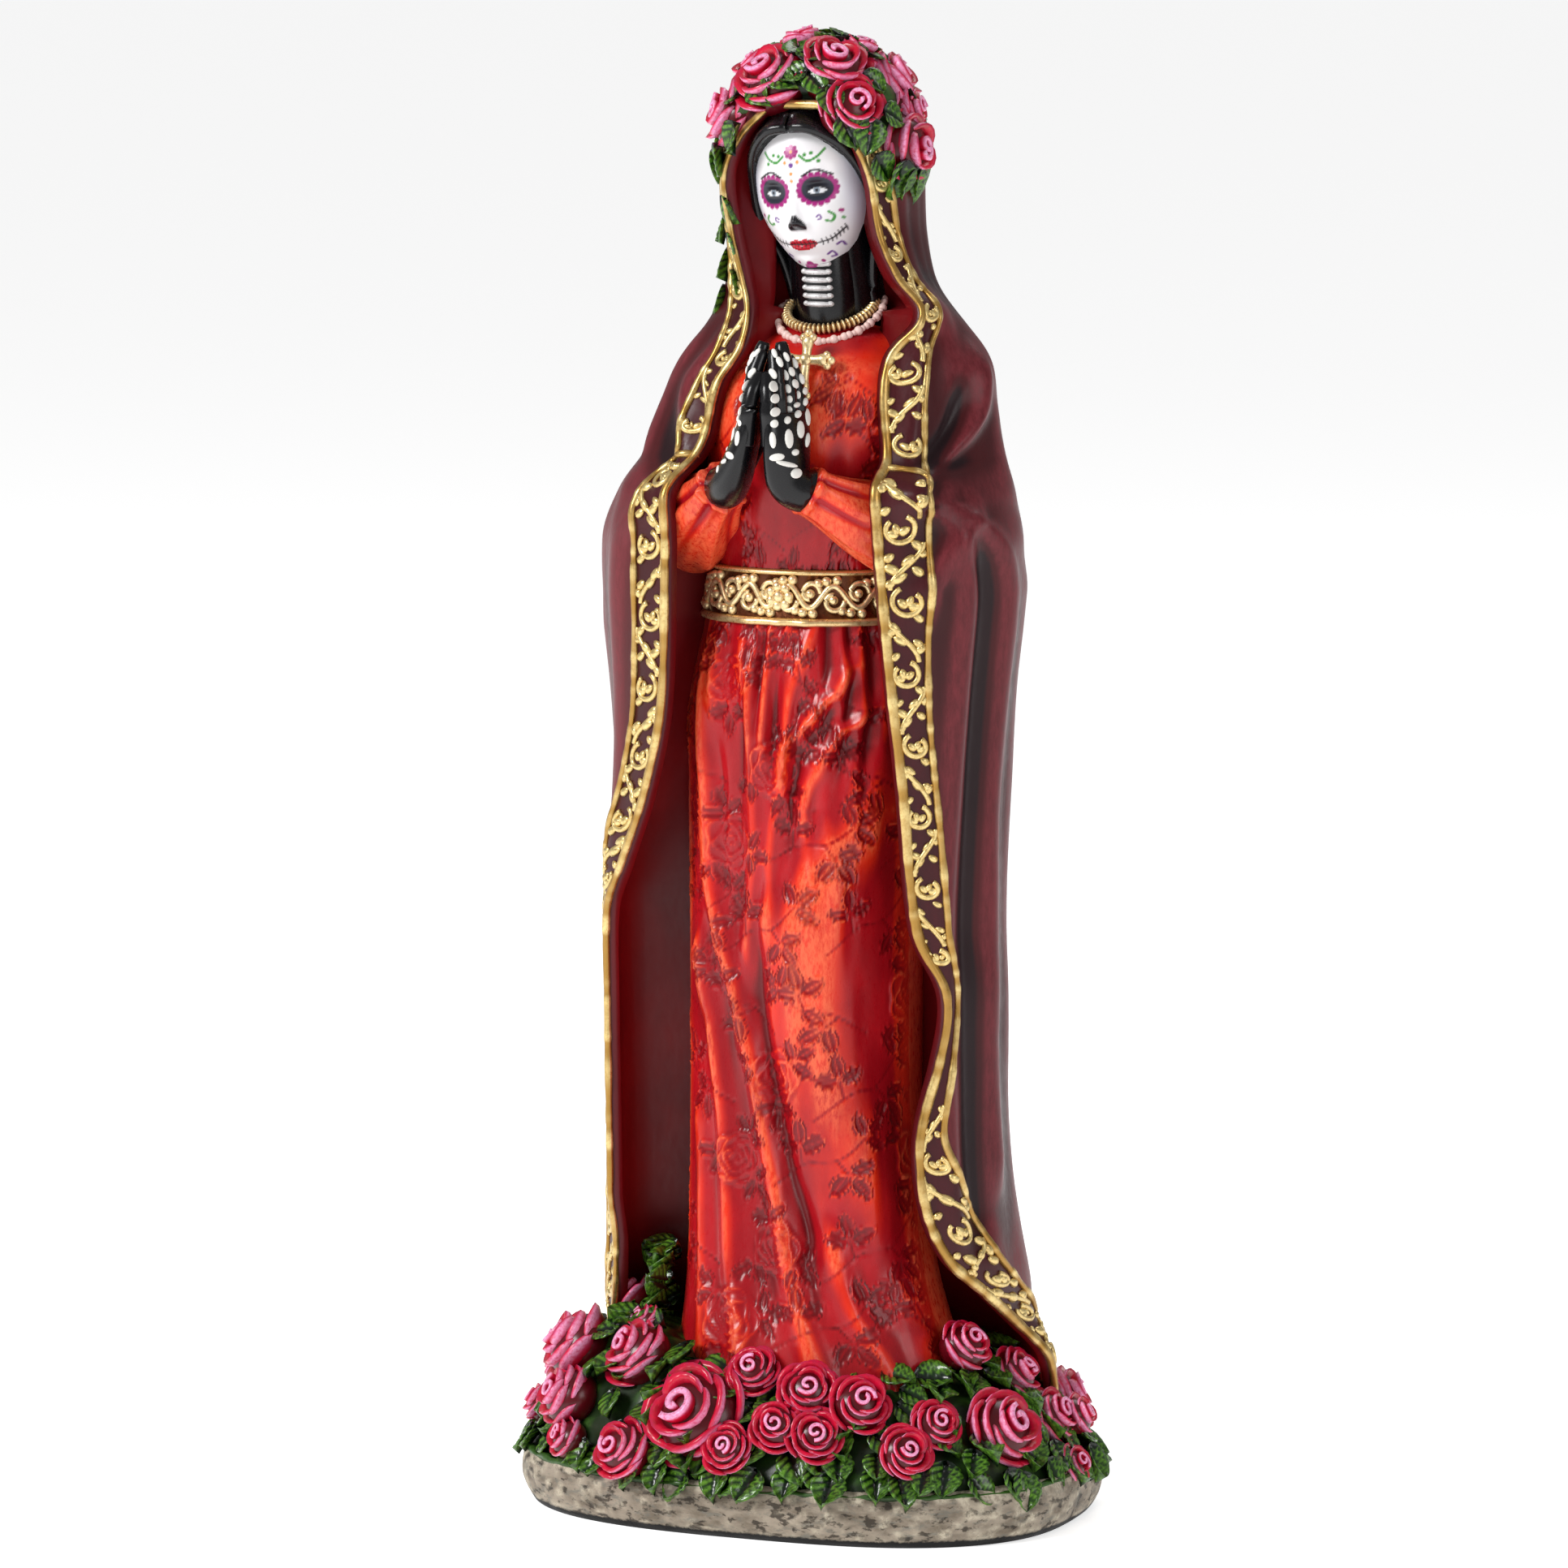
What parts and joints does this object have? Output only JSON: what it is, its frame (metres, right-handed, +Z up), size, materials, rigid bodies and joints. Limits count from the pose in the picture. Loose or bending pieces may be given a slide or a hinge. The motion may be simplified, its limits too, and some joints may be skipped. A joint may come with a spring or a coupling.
{
  "type": "day of the dead virgin figurine",
  "caption": "Standing veiled woman with a sugar-skull face and praying skeleton hands, crowned with roses, on an oval rock base heaped with roses.",
  "frame": {"origin": "centre of the flat underside of the rock base", "axes": "+Z up through the figure, -Y towards the figure's front, +X towards the figure's left hand"},
  "size_m": [0.1172, 0.0875, 0.291],
  "materials": {
    "painted_resin": "satin"
  },
  "bodies": {
    "root": {"figurine": "painted_resin"}
  },
  "joints": []
}
